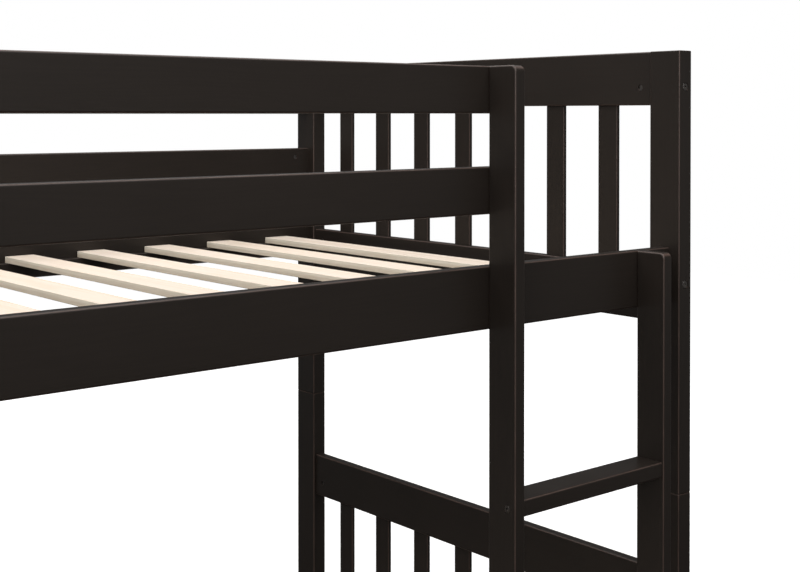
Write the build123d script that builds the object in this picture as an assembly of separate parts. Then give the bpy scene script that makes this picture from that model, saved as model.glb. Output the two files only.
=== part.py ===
import os

from build123d import *

# Twin-over-twin bunk bed with a fixed ladder, in millimetres.
# +X runs along the bed to its right end, +Y from the ladder side to the back, +Z up.
# The origin is on the floor, under the middle of the whole object, ladder included.

# Overall sizes
overall_length = 2020
depth_over_posts = 1074
overall_height = 1560

# Posts, each in two halves that meet at a seam
post_thickness = 32
post_width = 62
post_round = 3
post_end_round = 1.5
seam_height = 828
upper_panel_top = overall_height
lower_panel_top = 692

# Every rail and guard board is planed to one thickness and centred on the posts
board_thickness = 20
board_round = 3

# End panels: two rails with upright slats tenoned between them
end_rail_height = 90
end_panel_height = 452
end_slat_count = 7
end_slat_width = 43
end_slat_thickness = 8
end_slat_round = 2
tenon_length = 15
mortise_end_room = 0.3

# Side rails, the cleats on their inner faces and the bed slats on the cleats
side_rail_height = 92
side_rail_below_panel_top = 325
lower_front_rail_inset = 1
cleat_height = 30
cleat_depth = 20
cleat_end_gap = 18
cleat_round = 1
bed_slat_count = 13
bed_slat_width = 58
bed_slat_thickness = 12
bed_slat_end_gap = 2
bed_slat_round = 1
first_slat_gap = 59

# Guard boards, measured down from the top of the upper end panel
guard_height = 69
guard_drops = {"top": 35, "lower": 181}

# Ladder
upright_thickness = 20
upright_depth = 55
upright_round = 3
long_upright_x = 564
short_upright_x = 896
long_corner_round = 10
short_corner_round = 9
rung_spacing = 301
rung_count = 3
rung_thickness = 25
rung_setback = 3
rung_round = 3
guard_end_overlap = 16

# Fasteners
fit_gap = 0.1
cut_overrun = 1
blind_hole_room = 0.5
bolt_hole_room = 5
bolt_diameter = 6
bolt_hole = 6.6
bolt_head_diameter = 13
bolt_head_height = 2.6
bolt_head_round = 0.8
bolt_tip_chamfer = 0.6
hex_socket = 4
hex_socket_depth = 1.8
counterbore_diameter = 14
counterbore_depth = 3
long_bolt = 90
short_bolt = 70
ladder_bolt = 45
nut_diameter = 10
nut_length = 16
nut_bore = 6.2
nut_slot_width = 1.4
nut_slot_depth = 1.2
end_nut_distance = 25
side_nut_distance = 34
dowel_diameter = 8
dowel_length = 36
dowel_chamfer = 0.8
rung_dowel_length = 30
rung_dowel_in_upright = 12
joining_pin_diameter = 10
joining_pin_length = 80
joining_pin_clearance = 0.2
joining_pin_end_room = 2
joining_pin_round = 1.5
insert_diameter = 10
insert_length = 16
insert_below_face = 0.2
rung_screw = 50
rung_screw_head = 11
rung_screw_head_height = 2.8
rung_screw_from_front = 17
rung_dowel_from_front = 42
screw_diameter = 4
screw_head_diameter = 8
screw_head_height = 2.6
screw_recess = 1.4
screw_recess_width = 1
screw_tip_radius = 0.4
guard_screw = 42
cleat_screw = 30
slat_screw = 28
slat_screw_recess = 6

# Fastener places, measured down from the top of a bed's end panel
end_bolt_drops = (60, 386)
end_dowel_drops = (22, 427)
side_bolt_drops = (346, 400)
side_dowel_drop = 370
guard_bolt_drops = {"top": 84, "lower": 200}
guard_dowel_drops = {"top": 47, "lower": 230}
ladder_bolt_drops = (342, 364)
guard_screw_offset = 18

# Worked out from the sizes above
ladder_stand_off = upright_depth - (post_width - board_thickness) / 2
bed_middle = ladder_stand_off / 2
post_x = overall_length / 2 - post_thickness / 2
inner_x = overall_length / 2 - post_thickness
post_y = depth_over_posts / 2 - post_width / 2
end_rail_reach = depth_over_posts / 2 - post_width
nut_recess = (board_thickness - nut_length) / 2
rail_inner_y = post_y - board_thickness / 2
front_face_y = bed_middle - post_y - board_thickness / 2
ladder_front_y = front_face_y - upright_depth

sides = {"left": -1, "right": 1}
rows = {"front": -1, "rear": 1}
beds = {
    "lower": {"panel_top": lower_panel_top, "bottom": 0, "top": seam_height},
    "upper": {"panel_top": upper_panel_top, "bottom": seam_height, "top": overall_height},
}

# The turn that takes +Z to each direction
turns = {
    "+X": Rot(0, 90, 0),
    "-X": Rot(0, -90, 0),
    "+Y": Rot(-90, 0, 0),
    "-Y": Rot(90, 0, 0),
    "+Z": Rot(0, 0, 0),
}


def aim(axis, sign):
    return ("+" if sign > 0 else "-") + axis


def place(shape, point, direction):
    return Pos(*point) * turns[direction] * shape


def block(x_range, y_range, z_range):
    # A plain box between two values on each axis.
    ranges = (x_range, y_range, z_range)
    centre = [(low + high) / 2 for low, high in ranges]
    lengths = [high - low for low, high in ranges]
    return Pos(*centre) * Box(*lengths)


def board(x_range, y_range, z_range, along, radius):
    # A planed board: its long edges are rounded and its ends are cut square.
    blank = block(x_range, y_range, z_range)
    return fillet(blank.edges().filter_by(along), radius)


def upwards_rod(diameter, low, high):
    return Pos(0, 0, (low + high) / 2) * Cylinder(diameter / 2, high - low)


def hole(point, direction, diameter, depth):
    # A round hole drilled from a point, starting a little outside the surface.
    return place(upwards_rod(diameter, -cut_overrun, depth), point, direction)


def bolt(length, head_diameter, head_height):
    # The seat is at z = 0, the shank points up and the hex socket opens downwards.
    head = upwards_rod(head_diameter, -head_height, 0)
    head = fillet(head.edges().sort_by(Axis.Z)[0], bolt_head_round)
    socket = extrude(RegularPolygon(hex_socket / 2, 6, major_radius=False), hex_socket_depth)
    shank = upwards_rod(bolt_diameter, 0, length)
    shank = chamfer(shank.edges().sort_by(Axis.Z)[-1], bolt_tip_chamfer)
    return head + shank - Pos(0, 0, -head_height) * socket


def bolt_hole_through(depth):
    # The counterbore opens downwards at z = 0 and the shank's hole goes on up.
    counterbore = upwards_rod(counterbore_diameter, -cut_overrun, counterbore_depth)
    return counterbore + upwards_rod(bolt_hole, 0, depth)


def wood_screw(length):
    # The top of the countersunk head is at z = 0 and the point is up.
    radius = screw_diameter / 2
    head = Pos(0, 0, screw_head_height / 2) * Cone(screw_head_diameter / 2, radius, screw_head_height)
    tip_length = screw_diameter
    shank = upwards_rod(screw_diameter, screw_head_height, length - tip_length)
    tip = Pos(0, 0, length - tip_length / 2) * Cone(radius, screw_tip_radius, tip_length)
    arm = Box(screw_head_diameter / 2, screw_recess_width, 2 * screw_recess)
    recess = arm + Rot(0, 0, 90) * arm
    return head + shank + tip - recess


def wood_screw_hole(length, recess_depth=0):
    # The same outline with a hair of room, below a recess that the head sinks into.
    radius = screw_diameter / 2 + fit_gap
    head_radius = screw_head_diameter / 2 + fit_gap
    head = Pos(0, 0, screw_head_height / 2) * Cone(head_radius, radius, screw_head_height)
    mouth = upwards_rod(2 * head_radius, -recess_depth - cut_overrun, 0)
    return head + mouth + upwards_rod(2 * radius, 0, length + blind_hole_room)


def barrel_nut():
    # A cross dowel: a short cylinder up from z = 0 with a slot in its end and a bore across X.
    body = upwards_rod(nut_diameter, 0, nut_length)
    bore = place(upwards_rod(nut_bore, -nut_diameter, nut_diameter), (0, 0, nut_length / 2), "+X")
    slot = Box(nut_diameter + cut_overrun, nut_slot_width, 2 * nut_slot_depth)
    return body - bore - slot


def dowel(length):
    pin = upwards_rod(dowel_diameter, -length / 2, length / 2)
    return chamfer(pin.edges().filter_by(GeomType.CIRCLE), dowel_chamfer)


def post_point(side, row, z):
    return (sides[side] * post_x, bed_middle + rows[row] * post_y, z)


def end_rail_ranges(panel_top):
    top_rail = (panel_top - end_rail_height, panel_top)
    bottom = panel_top - end_panel_height
    return {"top": top_rail, "bottom": (bottom, bottom + end_rail_height)}


def side_rail_range(panel_top):
    top = panel_top - side_rail_below_panel_top
    return (top - side_rail_height, top)


def guard_range(level):
    top = upper_panel_top - guard_drops[level]
    return (top - guard_height, top)


def guard_ends():
    # Each place where a guard board butts against a post: the front boards stop at the ladder.
    return [("front", "left"), ("rear", "left"), ("rear", "right")]


def row_inset(bed_name, row):
    # The lower front rail stands back a hair, so that the ladder passes it freely.
    return lower_front_rail_inset if (bed_name, row) == ("lower", "front") else 0


def board_y(bed_name, row):
    # The middle of the thickness of a side rail or guard board.
    return bed_middle + rows[row] * (post_y - row_inset(bed_name, row))


# Positions of the fasteners. Each entry is (point, direction), at the outside of the post.

def end_bolt_places(bed_name):
    spots = []
    for side in sides:
        for row in rows:
            for drop in end_bolt_drops:
                y = bed_middle + rows[row] * depth_over_posts / 2
                point = (sides[side] * post_x, y, beds[bed_name]["panel_top"] - drop)
                spots.append((side, row, point, aim("Y", -rows[row])))
    return spots


def side_bolt_places(bed_name):
    spots = []
    panel_top = beds[bed_name]["panel_top"]
    for side in sides:
        for row in rows:
            for drop in side_bolt_drops:
                point = (sides[side] * overall_length / 2, board_y(bed_name, row), panel_top - drop)
                spots.append((side, row, point, aim("X", -sides[side])))
    return spots


def guard_bolt_places():
    spots = []
    for row, side in guard_ends():
        for drop in guard_bolt_drops.values():
            point = (sides[side] * overall_length / 2, board_y("upper", row), upper_panel_top - drop)
            spots.append((side, row, point, aim("X", -sides[side])))
    return spots


def end_dowel_places(bed_name):
    spots = []
    for side in sides:
        for row in rows:
            for drop in end_dowel_drops:
                y = bed_middle + rows[row] * end_rail_reach
                point = (sides[side] * post_x, y, beds[bed_name]["panel_top"] - drop)
                spots.append((side, row, point, "+Y"))
    return spots


def side_dowel_places(bed_name):
    spots = []
    height = beds[bed_name]["panel_top"] - side_dowel_drop
    for side in sides:
        for row in rows:
            spots.append((side, row, (sides[side] * inner_x, board_y(bed_name, row), height), "+X"))
    if bed_name == "upper":
        for row, side in guard_ends():
            for drop in guard_dowel_drops.values():
                point = (sides[side] * inner_x, board_y(bed_name, row), upper_panel_top - drop)
                spots.append((side, row, point, "+X"))
    return spots


def long_bolt_places(bed_name):
    return [(point, way) for _, _, point, way in end_bolt_places(bed_name)]


def short_bolt_places(bed_name):
    spots = side_bolt_places(bed_name)
    if bed_name == "upper":
        spots = spots + guard_bolt_places()
    return [(point, way) for _, _, point, way in spots]


def dowel_places(bed_name):
    spots = end_dowel_places(bed_name) + side_dowel_places(bed_name)
    return [(point, way) for _, _, point, way in spots]


def nut_places(bed_name):
    # Each barrel nut enters from the face of the board that looks into the bed.
    spots = []
    for side, row, point, _ in end_bolt_places(bed_name):
        x = sides[side] * (post_x - nut_length / 2)
        y = bed_middle + rows[row] * (end_rail_reach - end_nut_distance)
        spots.append(((x, y, point[2]), aim("X", sides[side])))
    bolts = side_bolt_places(bed_name)
    if bed_name == "upper":
        bolts = bolts + guard_bolt_places()
    for side, row, point, _ in bolts:
        x = sides[side] * (inner_x - side_nut_distance)
        y = point[1] - rows[row] * nut_length / 2
        spots.append(((x, y, point[2]), aim("Y", rows[row])))
    return spots


def rung_heights():
    return [rung_spacing * (index + 1) for index in range(rung_count)]


def rung_screw_places():
    # The heads are sunk in the outer faces of the two uprights.
    spots = []
    for z in rung_heights():
        middle = z - rung_thickness / 2
        y = ladder_front_y + rung_screw_from_front
        spots.append(((long_upright_x, y, middle), "+X"))
        spots.append(((short_upright_x + upright_thickness, y, middle), "-X"))
    return spots


def rung_dowel_places():
    spots = []
    shift = rung_dowel_length / 2 - rung_dowel_in_upright
    y = ladder_front_y + rung_dowel_from_front
    for z in rung_heights():
        middle = z - rung_thickness / 2
        spots.append(((long_upright_x + upright_thickness + shift, y, middle), "+X"))
        spots.append(((short_upright_x - shift, y, middle), "+X"))
    return spots


def ladder_bolt_places():
    # From the inner face of the upper side rail, through it and into each upright.
    spots = []
    for x in (long_upright_x, short_upright_x):
        for drop in ladder_bolt_drops:
            point = (x + upright_thickness / 2, front_face_y + board_thickness, upper_panel_top - drop)
            spots.append((point, "-Y"))
    return spots


def guard_screw_places():
    # From the inner face of the front guard boards into the long upright.
    spots = []
    for level in guard_drops:
        low, high = guard_range(level)
        for offset in (-guard_screw_offset, guard_screw_offset):
            x = long_upright_x + upright_thickness / 2
            point = (x, front_face_y + board_thickness, (low + high) / 2 + offset)
            spots.append((point, "-Y"))
    return spots


def cleat_screw_places(bed_name):
    # From the inner face of each cleat into the side rail, one in each gap between two slats.
    spots = []
    low, _ = side_rail_range(beds[bed_name]["panel_top"])
    centres = slat_centres()
    for row in rows:
        y = board_y(bed_name, row) - rows[row] * (board_thickness / 2 + cleat_depth)
        for first, second in zip(centres, centres[1:]):
            point = ((first + second) / 2, y, low + cleat_height / 2)
            spots.append((row, point, aim("Y", rows[row])))
    return spots


def slat_centres():
    first = -inner_x + first_slat_gap + bed_slat_width / 2
    return [first - 2 * first * index / (bed_slat_count - 1) for index in range(bed_slat_count)]


def slat_screw_places(bed_name):
    # Driven up through the cleats into the ends of the slats.
    spots = []
    low, _ = side_rail_range(beds[bed_name]["panel_top"])
    for row in rows:
        y = board_y(bed_name, row) - rows[row] * (board_thickness + cleat_depth) / 2
        for x in slat_centres():
            spots.append((row, (x, y, low + slat_screw_recess), "+Z"))
    return spots


# The wooden pieces

def post(bed_name, side, row):
    bed = beds[bed_name]
    x, y, _ = post_point(side, row, 0)
    x_range = (x - post_thickness / 2, x + post_thickness / 2)
    y_range = (y - post_width / 2, y + post_width / 2)
    piece = board(x_range, y_range, (bed["bottom"], bed["top"]), Axis.Z, post_round)
    ends = piece.edges().filter_by_position(Axis.Z, bed["bottom"], bed["bottom"])
    ends = ends + piece.edges().filter_by_position(Axis.Z, bed["top"], bed["top"])
    piece = fillet(ends, post_end_round)
    through_bolts = end_bolt_places(bed_name) + side_bolt_places(bed_name)
    if bed_name == "upper":
        through_bolts = through_bolts + guard_bolt_places()
    for bolt_side, bolt_row, point, way in through_bolts:
        if (bolt_side, bolt_row) == (side, row):
            piece -= place(bolt_hole_through(post_width + cut_overrun), point, way)
    for dowel_side, dowel_row, point, way in end_dowel_places(bed_name) + side_dowel_places(bed_name):
        if (dowel_side, dowel_row) == (side, row):
            piece -= place(dowel_socket(dowel_length), point, way)
    return piece - place(joining_pin_socket(bed_name), (x, y, seam_height), "+Z")


def dowel_socket(length):
    reach = length / 2 + blind_hole_room
    return upwards_rod(dowel_diameter + 2 * fit_gap, -reach, reach)


def joining_pin_socket(bed_name):
    # The pin is snug in the lower post and free in the upper one.
    reach = joining_pin_length / 2
    if bed_name == "lower":
        return upwards_rod(joining_pin_diameter + 2 * fit_gap, -reach - blind_hole_room, cut_overrun)
    diameter = joining_pin_diameter + 2 * joining_pin_clearance
    return upwards_rod(diameter, -cut_overrun, reach + joining_pin_end_room)


def end_slat_box(panel_top, side, y, growth=0, end_growth=0):
    # One upright slat with its tenons, or the pocket for it when it is grown by the gaps.
    x = sides[side] * post_x
    half_thickness = end_slat_thickness / 2 + growth
    half_width = end_slat_width / 2 + growth
    low = panel_top - end_panel_height + end_rail_height - tenon_length - end_growth
    high = panel_top - end_rail_height + tenon_length + end_growth
    x_range = (x - half_thickness, x + half_thickness)
    return board(x_range, (y - half_width, y + half_width), (low, high), Axis.Z, end_slat_round)


def end_slat_centres():
    clear = 2 * end_rail_reach
    gap = (clear - end_slat_count * end_slat_width) / (end_slat_count + 1)
    pitch = gap + end_slat_width
    half_span = pitch * (end_slat_count - 1) / 2
    return [bed_middle - half_span + pitch * index for index in range(end_slat_count)]


def end_slats(bed_name, side):
    panel_top = beds[bed_name]["panel_top"]
    return Compound(children=[end_slat_box(panel_top, side, y) for y in end_slat_centres()])


def end_rail(bed_name, side, level):
    panel_top = beds[bed_name]["panel_top"]
    x = sides[side] * post_x
    x_range = (x - board_thickness / 2, x + board_thickness / 2)
    y_range = (bed_middle - end_rail_reach, bed_middle + end_rail_reach)
    low, high = end_rail_ranges(panel_top)[level]
    piece = board(x_range, y_range, (low, high), Axis.Y, board_round)
    for y in end_slat_centres():
        piece -= end_slat_box(panel_top, side, y, fit_gap, mortise_end_room)
    for bolt_side, _, point, way in end_bolt_places(bed_name):
        if bolt_side == side and low < point[2] < high:
            piece -= hole(point, way, bolt_hole, long_bolt + bolt_hole_room)
    for dowel_side, _, point, way in end_dowel_places(bed_name):
        if dowel_side == side and low < point[2] < high:
            piece -= place(dowel_socket(dowel_length), point, way)
    return piece - nut_sockets(bed_name, "X", (low, high), lambda point: point[0] * x > 0)


def nut_sockets(bed_name, axis, height_range, wanted):
    # The blind holes for the barrel nuts that lie along one axis at the given heights.
    low, high = height_range
    tools = []
    for point, way in nut_places(bed_name):
        if axis in way and low < point[2] < high and wanted(point):
            depth = nut_length + blind_hole_room
            socket = upwards_rod(nut_diameter + 2 * fit_gap, -nut_recess - cut_overrun, depth)
            tools.append(place(socket, point, way))
    return tools


def long_board(bed_name, row, x_range, z_range):
    # A side rail or guard board, drilled for the bolts, dowels and nuts at its ends.
    y = board_y(bed_name, row)
    y_range = (y - board_thickness / 2, y + board_thickness / 2)
    piece = board(x_range, y_range, z_range, Axis.X, board_round)
    low, high = z_range
    bolts = side_bolt_places(bed_name) + guard_bolt_places()
    for _, bolt_row, point, way in bolts:
        if bolt_row == row and low < point[2] < high:
            piece -= hole(point, way, bolt_hole, short_bolt + bolt_hole_room)
    for _, dowel_row, point, way in side_dowel_places(bed_name):
        if dowel_row == row and low < point[2] < high:
            piece -= place(dowel_socket(dowel_length), point, way)
    sign = rows[row]
    same_row = lambda point: (point[1] - bed_middle) * sign > 0
    return piece - nut_sockets(bed_name, "Y", z_range, same_row)


def side_rail(bed_name, row):
    rail_range = side_rail_range(beds[bed_name]["panel_top"])
    piece = long_board(bed_name, row, (-inner_x, inner_x), rail_range)
    for screw_row, point, way in cleat_screw_places(bed_name):
        if screw_row == row:
            piece -= place(wood_screw_hole(cleat_screw), point, way)
    if (bed_name, row) == ("upper", "front"):
        for point, way in ladder_bolt_places():
            piece -= place(bolt_hole_through(ladder_bolt), point, way)
    return piece


def guard_board(row, level):
    right_end = inner_x if row == "rear" else long_upright_x + guard_end_overlap
    piece = long_board("upper", row, (-inner_x, right_end), guard_range(level))
    if row == "front":
        for point, way in guard_screw_places():
            piece -= place(wood_screw_hole(guard_screw), point, way)
    return piece


def cleat(bed_name, row):
    low, _ = side_rail_range(beds[bed_name]["panel_top"])
    face = board_y(bed_name, row) - rows[row] * board_thickness / 2
    far = face - rows[row] * cleat_depth
    reach = inner_x - cleat_end_gap
    y_range = (min(face, far), max(face, far))
    piece = board((-reach, reach), y_range, (low, low + cleat_height), Axis.X, cleat_round)
    for screw_row, point, way in cleat_screw_places(bed_name):
        if screw_row == row:
            piece -= place(wood_screw_hole(cleat_screw), point, way)
    for screw_row, point, way in slat_screw_places(bed_name):
        if screw_row == row:
            piece -= place(wood_screw_hole(slat_screw, slat_screw_recess), point, way)
    return piece


def bed_slats(bed_name):
    low, _ = side_rail_range(beds[bed_name]["panel_top"])
    bottom = low + cleat_height
    reach = rail_inner_y - bed_slat_end_gap
    y_range = (bed_middle - reach, bed_middle + reach)
    slats = []
    for x in slat_centres():
        x_range = (x - bed_slat_width / 2, x + bed_slat_width / 2)
        slat = board(x_range, y_range, (bottom, bottom + bed_slat_thickness), Axis.Y, bed_slat_round)
        for _, point, way in slat_screw_places(bed_name):
            if abs(point[0] - x) < bed_slat_width / 2:
                slat -= place(wood_screw_hole(slat_screw), point, way)
        slats.append(slat)
    return Compound(children=slats)


def upright(x, top, corner_round):
    # A ladder upright, rounded all over, with a larger round at the top of its front edge.
    z_range = (0, top)
    piece = block((x, x + upright_thickness), (ladder_front_y, front_face_y), z_range)
    top_edges = piece.edges().filter_by(Axis.X).sort_by(Axis.Z)[-2:]
    piece = fillet(top_edges.sort_by(Axis.Y)[0], corner_round)
    left_rim = piece.faces().sort_by(Axis.X)[0].edges()
    right_rim = piece.faces().sort_by(Axis.X)[-1].edges()
    piece = fillet(left_rim + right_rim, upright_round)
    for point, way in rung_screw_places():
        if x <= point[0] <= x + upright_thickness:
            piece -= hole(point, way, bolt_hole, upright_thickness + cut_overrun)
            piece -= hole(point, way, rung_screw_head + 2 * fit_gap, counterbore_depth)
    for point, way in rung_dowel_places():
        piece -= place(dowel_socket(rung_dowel_length), point, way)
    for point, way in ladder_bolt_places():
        if x <= point[0] <= x + upright_thickness:
            piece -= hole(point, way, bolt_hole, ladder_bolt + bolt_hole_room)
            mouth = (point[0], front_face_y, point[2])
            piece -= hole(mouth, way, insert_diameter + 2 * fit_gap, insert_length + blind_hole_room)
    for point, way in guard_screw_places():
        if top > point[2] and x <= point[0] <= x + upright_thickness:
            piece -= place(wood_screw_hole(guard_screw), point, way)
    return piece


def rung(z):
    x_range = (long_upright_x + upright_thickness, short_upright_x)
    y_range = (ladder_front_y + rung_setback, front_face_y)
    piece = board(x_range, y_range, (z - rung_thickness, z), Axis.X, rung_round)
    for point, way in rung_screw_places():
        piece -= hole(point, way, bolt_hole, counterbore_depth + rung_screw + cut_overrun)
    for point, way in rung_dowel_places():
        piece -= place(dowel_socket(rung_dowel_length), point, way)
    return piece


# The fasteners, each kind of each bed as one group of separate solids

def sunk(point, way, depth):
    # The point moved along its direction by a depth.
    axis = "XYZ".index(way[1])
    moved = list(point)
    moved[axis] += depth if way[0] == "+" else -depth
    return tuple(moved)


def group(shape, places, depth=0):
    return Compound(children=[place(shape, sunk(point, way, depth), way) for point, way in places])


def joining_pins():
    reach = joining_pin_length / 2
    pin = upwards_rod(joining_pin_diameter, -reach, reach)
    pin = fillet(pin.edges().filter_by(GeomType.CIRCLE), joining_pin_round)
    return group(pin, [(post_point(side, row, seam_height), "+Z") for side in sides for row in rows])


def threaded_inserts():
    sleeve = upwards_rod(insert_diameter, insert_below_face, insert_length)
    sleeve -= upwards_rod(nut_bore, 0, insert_length + cut_overrun)
    spots = [((point[0], front_face_y, point[2]), way) for point, way in ladder_bolt_places()]
    return group(sleeve, spots)


def bed_pieces(bed_name):
    pieces = {}
    for row in rows:
        for side in sides:
            pieces[f"{bed_name}_post_{row}_{side}"] = post(bed_name, side, row)
        pieces[f"{bed_name}_{row}_side_rail"] = side_rail(bed_name, row)
        pieces[f"{bed_name}_{row}_slat_cleat"] = cleat(bed_name, row)
    for side in sides:
        for level in ("top", "bottom"):
            pieces[f"{bed_name}_{side}_end_{level}_rail"] = end_rail(bed_name, side, level)
        pieces[f"{bed_name}_{side}_end_slats"] = end_slats(bed_name, side)
    pieces[f"{bed_name}_bed_slats"] = bed_slats(bed_name)
    head = (bolt_head_diameter, bolt_head_height)
    seat = counterbore_depth
    pieces[f"{bed_name}_end_rail_bolts"] = group(bolt(long_bolt, *head), long_bolt_places(bed_name), seat)
    pieces[f"{bed_name}_side_rail_bolts"] = group(bolt(short_bolt, *head), short_bolt_places(bed_name), seat)
    pieces[f"{bed_name}_barrel_nuts"] = barrel_nuts(bed_name)
    pieces[f"{bed_name}_dowels"] = group(dowel(dowel_length), dowel_places(bed_name))
    cleat_spots = [(point, way) for _, point, way in cleat_screw_places(bed_name)]
    pieces[f"{bed_name}_cleat_screws"] = group(wood_screw(cleat_screw), cleat_spots)
    slat_spots = [(point, way) for _, point, way in slat_screw_places(bed_name)]
    pieces[f"{bed_name}_slat_screws"] = group(wood_screw(slat_screw), slat_spots)
    return pieces


def barrel_nuts(bed_name):
    # The nuts in the end rails are turned a quarter about their own axis to take bolts along Y.
    nut = barrel_nut()
    quarter_nut = Rot(0, 0, 90) * nut
    solids = []
    for point, way in nut_places(bed_name):
        solids.append(place(quarter_nut if "X" in way else nut, point, way))
    return Compound(children=solids)


def guard_pieces():
    return {f"{row}_guard_{level}_board": guard_board(row, level) for row in rows for level in guard_drops}


def ladder_pieces():
    long_top = guard_range("top")[1]
    short_top = side_rail_range(upper_panel_top)[1]
    pieces = {
        "ladder_long_upright": upright(long_upright_x, long_top, long_corner_round),
        "ladder_short_upright": upright(short_upright_x, short_top, short_corner_round),
    }
    for index, z in enumerate(rung_heights()):
        pieces[f"ladder_rung_{index + 1}"] = rung(z)
    rung_fixing = bolt(rung_screw, rung_screw_head, rung_screw_head_height)
    mounting_bolt = bolt(ladder_bolt, bolt_head_diameter, bolt_head_height)
    pieces["rung_connecting_screws"] = group(rung_fixing, rung_screw_places(), counterbore_depth)
    pieces["rung_dowels"] = group(dowel(rung_dowel_length), rung_dowel_places())
    pieces["ladder_mounting_bolts"] = group(mounting_bolt, ladder_bolt_places(), counterbore_depth)
    pieces["ladder_threaded_inserts"] = threaded_inserts()
    pieces["guard_end_screws"] = group(wood_screw(guard_screw), guard_screw_places())
    return pieces


def main():
    os.makedirs("parts", exist_ok=True)
    pieces = bed_pieces("lower")
    pieces.update(bed_pieces("upper"))
    pieces.update(guard_pieces())
    pieces.update(ladder_pieces())
    pieces["bed_joining_pins"] = joining_pins()
    for name, shape in pieces.items():
        export_step(shape, f"parts/{name}.step")
    print(len(pieces), "nodes written")


main()
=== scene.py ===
import math

import bpy
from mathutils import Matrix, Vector


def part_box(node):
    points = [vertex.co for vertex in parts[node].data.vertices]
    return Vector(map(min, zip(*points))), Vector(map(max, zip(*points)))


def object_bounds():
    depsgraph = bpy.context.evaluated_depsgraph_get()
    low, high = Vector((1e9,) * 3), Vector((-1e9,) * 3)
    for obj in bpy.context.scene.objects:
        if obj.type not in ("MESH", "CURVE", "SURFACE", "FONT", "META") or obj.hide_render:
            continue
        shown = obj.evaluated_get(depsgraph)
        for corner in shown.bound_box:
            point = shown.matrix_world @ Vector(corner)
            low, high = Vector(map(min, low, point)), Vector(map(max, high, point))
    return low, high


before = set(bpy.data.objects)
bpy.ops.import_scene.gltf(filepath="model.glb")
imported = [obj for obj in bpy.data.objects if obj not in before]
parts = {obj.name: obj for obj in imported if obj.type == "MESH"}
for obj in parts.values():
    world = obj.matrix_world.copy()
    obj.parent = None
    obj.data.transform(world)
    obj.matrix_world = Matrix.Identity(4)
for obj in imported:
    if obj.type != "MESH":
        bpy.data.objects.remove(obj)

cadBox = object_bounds()
lowCorner, highCorner = cadBox


class Strand:
    # one socket of a node tree; arithmetic on it adds a Math or Vector Math node
    def __init__(self, recipe, socket):
        self.recipe, self.socket = recipe, socket

    def reckon(self, operation, *others, flip=False):
        values = [*others, self] if flip else [self, *others]
        kind = "VectorMath" if self.socket.type == "VECTOR" else "Math"
        return self.recipe.add(kind, {"operation": operation}, dict(enumerate(values)))

    def __add__(self, other):
        return self.reckon("ADD", other)

    def __sub__(self, other):
        return self.reckon("SUBTRACT", other)

    def __rsub__(self, other):
        return self.reckon("SUBTRACT", other, flip=True)

    def __mul__(self, other):
        return self.reckon("MULTIPLY", other)

    def __truediv__(self, other):
        return self.reckon("DIVIDE", other)

    __radd__, __rmul__ = __add__, __mul__

    def between(self, low, high, start=0.0, end=1.0):
        # eased step: start below low, end above high
        return self.recipe.add(
            "MapRange",
            {"interpolation_type": "SMOOTHSTEP"},
            {0: self, 1: low, 2: high, 3: start, 4: end},
        )


class Recipe:
    # the node tree of one finish, of the world or of the floor
    def __init__(self, tree):
        self.tree = tree
        tree.nodes.clear()

    def add(self, kind, settings=None, sockets=None, out=0):
        made = self.tree.nodes.new("ShaderNode" + kind)
        for key, value in (settings or {}).items():
            if key == "stops":
                self.setStops(made.color_ramp.elements, value)
            else:
                setattr(made, key, value)
        for key, value in (sockets or {}).items():
            if isinstance(value, Strand):
                self.tree.links.new(value.socket, made.inputs[key])
            else:
                made.inputs[key].default_value = value
        return Strand(self, made.outputs[out]) if made.outputs else None

    def setStops(self, elements, stops):
        while len(elements) < len(stops):
            elements.new(0.5)
        for element, (place, colour) in zip(elements, stops):
            element.position, element.color = place, (*colour, 1)

    def blendColours(self, factor, first, second, way="MIX"):
        first, second = [c if isinstance(c, Strand) else (*c, 1) for c in (first, second)]
        return self.add(
            "Mix", {"data_type": "RGBA", "blend_type": way}, {0: factor, 6: first, 7: second}, 2
        )

    def axes(self, vector):
        # the three parts of a vector, as numbers
        first = self.add("SeparateXYZ", {}, {0: vector})
        outputs = first.socket.node.outputs
        return [Strand(self, output) for output in outputs]

    def noise(self, vector, scale, detail=2.0, roughness=0.5, distortion=0.0):
        return self.add(
            "TexNoise",
            {},
            {
                "Vector": vector,
                "Scale": scale,
                "Detail": detail,
                "Roughness": roughness,
                "Distortion": distortion,
            },
        )

    def relief(self, strength, height, pattern):
        return self.add("Bump", {}, {"Strength": strength, "Distance": height, "Height": pattern})

    def close(self, surface):
        shader = self.add("BsdfPrincipled", {}, surface)
        self.add("OutputMaterial", {}, {"Surface": shader})

    def roundedEdges(self):
        # 0 on a board's flat faces, up to about 0.3 on its rounded edges; then the normal's sizes
        normal = self.add("TexCoord", {}, {}, "Normal")
        sizes = [part.reckon("ABSOLUTE") for part in self.axes(normal)]
        return 1 - sizes[0].reckon("MAXIMUM", sizes[1]).reckon("MAXIMUM", sizes[2]), sizes


def newFinish(name):
    material = bpy.data.materials.new(name)
    material.use_nodes = True
    return material, Recipe(material.node_tree)


axisNames = "XYZ"

lacquer = {
    "deepBrown": (0.0150, 0.0113, 0.0090),
    "warmBrown": (0.0212, 0.0160, 0.0128),
    # lighter brown of the rounded edges: partly worn-thin lacquer, partly a painted highlight
    "edgeWearAndHighlightBrown": (0.105, 0.068, 0.056),
    "alongGrain": 0.045,  # scale of the grain along a board, against 1 across it
    "figureScale": 14.0,
    "ringCount": 156.0,  # grain lines over the whole range of the figure
    "poreScale": 420.0,
    "cloudScale": 2.3,
    "orangePeelScale": 310.0,
    "wearAndHighlightPatches": 17.0,
    "wearAndHighlightShare": 0.75,  # how far a rounded edge goes towards the edge colour, a lighter brown that is partly worn-thin lacquer and partly a painted highlight
    "sheen": 0.40,  # roughness of the satin coat
    "coatIor": 1.47,
    "specular": 0.30,
    "reliefStrength": 0.55,
    "reliefHeight": 0.00006,
}


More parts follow.
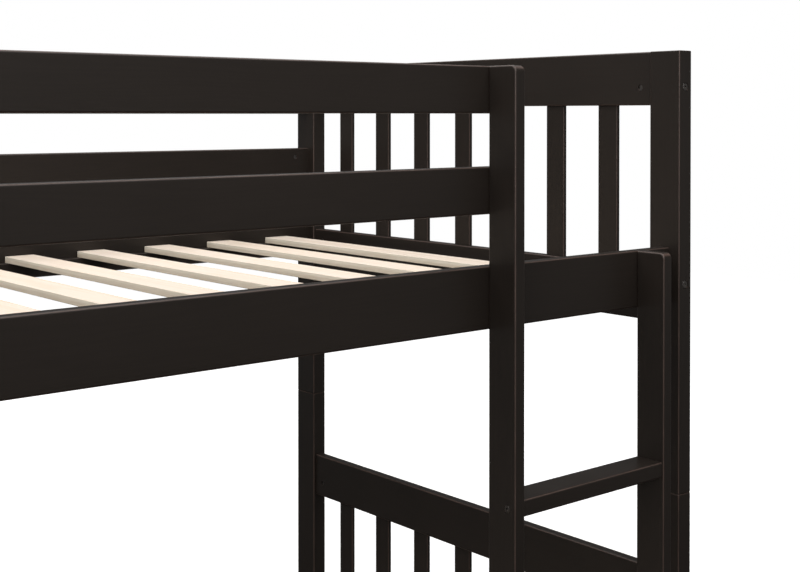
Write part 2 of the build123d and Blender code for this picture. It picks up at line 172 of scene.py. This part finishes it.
def makeLacquer(grain):
    look = lacquer
    material, recipe = newFinish("espressoLacquerAlong" + grain)
    place = recipe.add("TexCoord", {}, {}, "Object")
    drawn = place * tuple(look["alongGrain"] if name == grain else 1.0 for name in axisNames)
    figure = recipe.noise(drawn, look["figureScale"], 3.0, 0.55, 0.35)
    rings = (figure * look["ringCount"]).reckon("SINE") * 0.5 + 0.5
    pores = recipe.noise(drawn, look["poreScale"], 2.0, 0.6)
    cloud = recipe.noise(place, look["cloudScale"], 2.0, 0.5)
    orangePeel = recipe.noise(place, look["orangePeelScale"], 1.0, 0.5)
    edge, _ = recipe.roundedEdges()
    patches = recipe.noise(place, look["wearAndHighlightPatches"], 3.0, 0.6)
    # rounded edges, broken into patches, go lighter brown: partly real wear, partly a painted
    # highlight where the edges catch the light
    wornAndHighlitEdge = edge.between(0.03, 0.24) * patches.between(0.25, 0.7, 0.55, 1.0)

    tone = cloud.between(0.3, 0.7) * 0.6 + rings * 0.22 + pores * 0.18
    wood = recipe.blendColours(tone, look["deepBrown"], look["warmBrown"])
    colour = recipe.blendColours(wornAndHighlitEdge * look["wearAndHighlightShare"], wood, look["edgeWearAndHighlightBrown"])
    sheen = look["sheen"] + (cloud - 0.5) * 0.10 + (pores - 0.5) * 0.08 - wornAndHighlitEdge * 0.05
    relief = rings * 0.45 + pores * 0.35 + orangePeel * 0.3
    recipe.close({
        "Base Color": colour,
        "Roughness": sheen,
        "IOR": look["coatIor"],
        "Specular IOR Level": look["specular"],
        "Normal": recipe.relief(look["reliefStrength"], look["reliefHeight"], relief),
    })
    return material


slatPine = {
    "earlyWood": (0.80, 0.685, 0.585),
    "lateWood": (0.74, 0.60, 0.465),
    "narrowFacePaintedLight": (0.95, 0.85, 0.70),  # the slats' long narrow faces, painted lighter than the tops as if lit, at their upper band
    "narrowFacePaintedShade": (0.70, 0.57, 0.42),
    "paintedShadeFrom": 0.002,  # depth below the slat top at which the painted shade on the narrow face starts
    "paintedShadeTo": 0.0085,
    "knot": (0.16, 0.075, 0.032),
    "alongGrain": 0.035,
    "figureScale": 16.0,
    "ringCount": 95.0,
    "fibreScale": 700.0,
    "cloudScale": 5.0,
    "streakScale": 230.0,
    "sawMarkScale": 260.0,
    "knotScale": 9.0,
    "knotDrawnOut": 0.55,  # below 1, so that knots are longer along a slat
    "knotShare": 0.85,
    "sheen": 0.62,
    "specular": 0.3,
    "reliefStrength": 0.5,
    "reliefHeight": 0.00022,
}


def makeSlatPine():
    look = slatPine
    material, recipe = newFinish("barePineSlats")
    place = recipe.add("TexCoord", {}, {}, "Object")
    across, along, up = recipe.axes(place)
    slatNumber = (across * (1 / look["spacing"])).reckon("ROUND")
    layer = up.between(0.6, 0.8)  # 0 on the lower bed, 1 on the upper
    # each slat is cut from another place in the wood
    lot = recipe.add(
        "TexWhiteNoise",
        {"noise_dimensions": "2D"},
        {"Vector": recipe.add("CombineXYZ", {}, {0: slatNumber, 1: layer})},
        "Color",
    )
    lotAcross, lotAlong, lotTone = recipe.axes(lot)
    shifted = recipe.add("CombineXYZ", {}, {
        0: across + lotAcross * 7.0,
        1: (along + lotAlong * 9.0) * look["alongGrain"],
        2: up,
    })
    figure = recipe.noise(shifted, look["figureScale"], 3.0, 0.5, 0.5)
    rings = (figure * look["ringCount"]).reckon("SINE") * 0.5 + 0.5
    fibres = recipe.noise(shifted, look["fibreScale"], 2.0, 0.65)
    streaks = recipe.noise(shifted, look["streakScale"], 2.0, 0.6)
    cloud = recipe.noise(place, look["cloudScale"], 2.0, 0.5)
    sawMarks = recipe.noise(place, look["sawMarkScale"], 3.0, 0.7)
    _, sizes = recipe.roundedEdges()
    sawn = sizes[0].between(0.5, 0.9)  # 1 on the narrow faces

    knotPlace = recipe.add("CombineXYZ", {}, {
        0: across + lotAcross * 3.0,
        1: (along + lotAlong * 5.0) * look["knotDrawnOut"],
    })
    cells = recipe.add(
        "TexVoronoi", {"feature": "F1"}, {"Vector": knotPlace, "Scale": look["knotScale"]}
    )
    chance = recipe.axes(Strand(recipe, cells.socket.node.outputs["Color"]))[0]
    knots = cells.between(0.022, 0.062, 1.0, 0.0) * chance.between(0.70, 0.72)

    tone = rings.between(0.35, 1.0) * 0.42 + (fibres - 0.5) * 0.55
    tone = tone + lotTone * 0.22 + (cloud - 0.5) * 0.3
    wood = recipe.blendColours(tone, look["earlyWood"], look["lateWood"])
    topHeight = layer * (look["upperTop"] - look["lowerTop"]) + look["lowerTop"]
    # painted shade: each narrow face goes from a painted lit colour at the top to a darker one
    # lower down, with real saw streaks over it
    low = (topHeight - up).between(look["paintedShadeFrom"], look["paintedShadeTo"])
    shaded = low * 0.55 + (streaks - 0.5) * 1.1
    edgeWood = recipe.blendColours(shaded, look["narrowFacePaintedLight"], look["narrowFacePaintedShade"])
    faces = recipe.blendColours(sawn, wood, edgeWood)
    relief = rings * 0.3 + fibres * 0.55 + sawn * sawMarks * 0.9
    recipe.close({
        "Base Color": recipe.blendColours(knots * look["knotShare"], faces, look["knot"]),
        "Roughness": look["sheen"] + (fibres - 0.5) * 0.15 + sawn * 0.15,
        "Specular IOR Level": look["specular"],
        "Normal": recipe.relief(look["reliefStrength"], look["reliefHeight"], relief),
    })
    return material


beech = {
    "pale": (0.66, 0.49, 0.31),
    "dark": (0.52, 0.35, 0.20),
    "fleckScale": 900.0,
    "bandScale": 130.0,
    "sheen": 0.58,
    "reliefStrength": 0.4,
    "reliefHeight": 0.0001,
}


def makeBeech():
    look = beech
    material, recipe = newFinish("bareBeechDowels")
    place = recipe.add("TexCoord", {}, {}, "Object")
    flecks = recipe.noise(place, look["fleckScale"], 2.0, 0.6)
    bands = recipe.noise(place, look["bandScale"], 2.0, 0.5, 0.4)
    recipe.close({
        "Base Color": recipe.blendColours(bands * 0.6 + flecks * 0.4, look["pale"], look["dark"]),
        "Roughness": look["sheen"] + (flecks - 0.5) * 0.2,
        "Normal": recipe.relief(look["reliefStrength"], look["reliefHeight"], flecks),
    })
    return material


darkSteel = {
    "plating": (0.16, 0.145, 0.135),
    "worn": (0.78, 0.74, 0.71),
    "wornFrom": 0.35,
    "wornTo": 0.5,
    "sheen": 0.30,
}

zincSteel = {
    "plating": (0.56, 0.565, 0.56),
    "worn": (0.70, 0.68, 0.61),
    "wornFrom": 0.4,
    "wornTo": 0.6,
    "sheen": 0.27,
}

metalSurface = {
    "smudgeScale": 190.0,
    "scuffScale": 900.0,
    "reliefStrength": 0.3,
    "reliefHeight": 0.00003,
}


def makeMetal(name, look):
    shared = metalSurface
    material, recipe = newFinish(name)
    place = recipe.add("TexCoord", {}, {}, "Object")
    smudges = recipe.noise(place, shared["smudgeScale"], 3.0, 0.6)
    scuffs = recipe.noise(place, shared["scuffScale"], 2.0, 0.7)
    edge, _ = recipe.roundedEdges()
    worn = edge.between(0.05, 0.35) * scuffs.between(look["wornFrom"], look["wornTo"])
    recipe.close({
        "Base Color": recipe.blendColours(worn, look["plating"], look["worn"]),
        "Metallic": 1.0,
        "Roughness": look["sheen"] + (smudges - 0.5) * 0.22,
        "Normal": recipe.relief(shared["reliefStrength"], shared["reliefHeight"], scuffs),
    })
    return material


def grainOf(name):
    # the slats of an end panel stand upright; any other board's grain runs along its longest side
    if "end_slats" in name:
        return "Z"
    low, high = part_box(name)
    return axisNames[max(range(3), key=lambda axis: (high - low)[axis])]


slatWidth, slatCount = 0.058, 13
slatLow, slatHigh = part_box("upper_bed_slats")
slatPine["spacing"] = (slatHigh.x - slatLow.x - slatWidth) / (slatCount - 1)
slatPine["upperTop"] = slatHigh.z
slatPine["lowerTop"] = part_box("lower_bed_slats")[1].z

finishes = {("espresso_lacquer", grain): makeLacquer(grain) for grain in axisNames}
finishes["bare_slat_wood"] = makeSlatPine()
finishes["dowel_wood"] = makeBeech()
finishes["dark_steel"] = makeMetal("darkBronzedSteel", darkSteel)
finishes["zinc_plated_steel"] = makeMetal("zincPlatedSteel", zincSteel)
for name, part in parts.items():
    slotName = part.material_slots[0].material.name
    key = (slotName, grainOf(name)) if slotName == "espresso_lacquer" else slotName
    for slot in part.material_slots:
        slot.material = finishes[key]
print("finishes laid on:", len(finishes))


studio = {
    "floorReach": 9.0,
    "floorColour": (0.93, 0.925, 0.915),
    "nearGlow": 0.42,  # the floor's own light close to the bed
    "farGlow": 1.0,  # and far from it, where it runs into the backdrop
    "glowFrom": 2.2,
    "glowTo": 5.0,
    "backdropWhite": 1.0,
    "roomLight": 0.25,  # light from the room at eye level, none from overhead
    "speckleScale": 60.0,
    "speckleShade": 0.985,
    "floorRoughness": 0.85,
    "floorSpecular": 0.1,
}


def makeFloor():
    centre = (lowCorner + highCorner) / 2
    reach = studio["floorReach"]
    turns = [(-1, -1), (1, -1), (1, 1), (-1, 1)]
    corners = [(centre.x + x * reach, centre.y + y * reach, 0) for x, y in turns]
    mesh = bpy.data.meshes.new("studioFloor")
    mesh.from_pydata(corners, [], [(0, 1, 2, 3)])
    floor = bpy.data.objects.new("studioFloor", mesh)
    bpy.context.scene.collection.objects.link(floor)
    material, recipe = newFinish("paleFloor")
    place = recipe.add("TexCoord", {}, {}, "Object")
    speckle = recipe.noise(place, studio["speckleScale"], 2.0, 0.5)
    distance = recipe.add("VectorMath", {"operation": "LENGTH"}, {0: place}, "Value")
    glow = distance.between(
        studio["glowFrom"], studio["glowTo"], studio["nearGlow"], studio["farGlow"]
    )
    white = studio["floorColour"]
    shade = tuple(share * studio["speckleShade"] for share in white)
    recipe.close({
        "Base Color": recipe.blendColours(speckle, shade, white),
        "Roughness": studio["floorRoughness"],
        "Specular IOR Level": studio["floorSpecular"],
        "Emission Color": recipe.add("CombineXYZ", {}, {0: glow, 1: glow, 2: glow}),
        "Emission Strength": 1.0,
    })
    mesh.materials.append(material)
    floor.visible_glossy = floor.visible_diffuse = False  # it takes shadows but throws no light


def makeRoom():
    world = bpy.data.worlds.new("studioRoom")
    world.use_nodes = True
    bpy.context.scene.world = world
    recipe = Recipe(world.node_tree)
    seen = recipe.add("LightPath", {}, {}, "Is Camera Ray")
    height = recipe.axes(recipe.add("TexCoord", {}, {}, "Generated"))[2].reckon("ABSOLUTE")
    walls = height.between(0.0, 0.5, studio["roomLight"], 0.0)
    strength = walls * (1 - seen) + seen * studio["backdropWhite"]
    light = recipe.add("Background", {}, {"Color": (1, 1, 1, 1), "Strength": strength})
    recipe.add("OutputWorld", {}, {"Surface": light})


roomCentre = (0.0, 0.0, 1.2)
softLights = {
    "overhead": {
        "place": (0.0, 0.2, 4.2), "aim": (0.0, 0.1, 0.0), "size": (6.0, 5.0), "power": 212.0
    },
    "overFront": {
        "place": (0.0, -3.0, 4.0), "aim": roomCentre, "size": (4.0, 2.5), "power": 75.0
    },
    "overLeft": {
        "place": (-4.0, 0.0, 4.0), "aim": roomCentre, "size": (2.5, 4.0), "power": 30.0
    },
    "frontLeft": {
        "place": (-3.2, -3.6, 2.6), "aim": (-0.2, 0.0, 1.1), "size": (2.4, 2.0), "power": 80.0
    },
    "front": {
        "place": (0.3, -4.6, 2.0), "aim": roomCentre, "size": (2.4, 2.0), "power": 8.0
    },
    "leftRear": {
        "place": (-4.2, 3.6, 2.0), "aim": roomCentre, "size": (2.4, 2.0), "power": 3.0
    },
}


def makeLights():
    for name, light in softLights.items():
        lamp = bpy.data.lights.new(name, "AREA")
        lamp.shape = "RECTANGLE"
        lamp.size, lamp.size_y = light["size"]
        lamp.energy = light["power"]
        holder = bpy.data.objects.new(name, lamp)
        holder.location = light["place"]
        towards = Vector(light["aim"]) - Vector(light["place"])
        holder.rotation_euler = towards.to_track_quat("-Z", "Y").to_euler()
        holder.visible_camera = False
        bpy.context.scene.collection.objects.link(holder)


viewpoint = {
    "place": (-0.7424, -1.8524, 1.4550),
    "turn": 40.104,  # degrees towards the right end, from straight at the back
    "tilt": -0.647,
    "lens": 58.39,
    "sideways": -0.0005,  # the lens is shifted, so that the posts stay upright
    "drop": -0.1964,
    "sensorWidth": 36.0,
    "nearest": 0.05,
    "farthest": 60.0,
}


def makeCamera():
    camera = bpy.data.cameras.new("viewpoint")
    camera.sensor_fit = "HORIZONTAL"
    camera.sensor_width = viewpoint["sensorWidth"]
    camera.lens = viewpoint["lens"]
    camera.shift_x, camera.shift_y = viewpoint["sideways"], viewpoint["drop"]
    camera.clip_start, camera.clip_end = viewpoint["nearest"], viewpoint["farthest"]
    holder = bpy.data.objects.new("viewpoint", camera)
    holder.location = viewpoint["place"]
    holder.rotation_euler = (
        math.radians(90 + viewpoint["tilt"]),
        0,
        -math.radians(viewpoint["turn"]),
    )
    bpy.context.scene.collection.objects.link(holder)
    bpy.context.scene.camera = holder


makeFloor()
makeRoom()
makeLights()
makeCamera()
bpy.context.scene.view_settings.view_transform = "Standard"
print("studio ready")

bpy.context.view_layer.update()
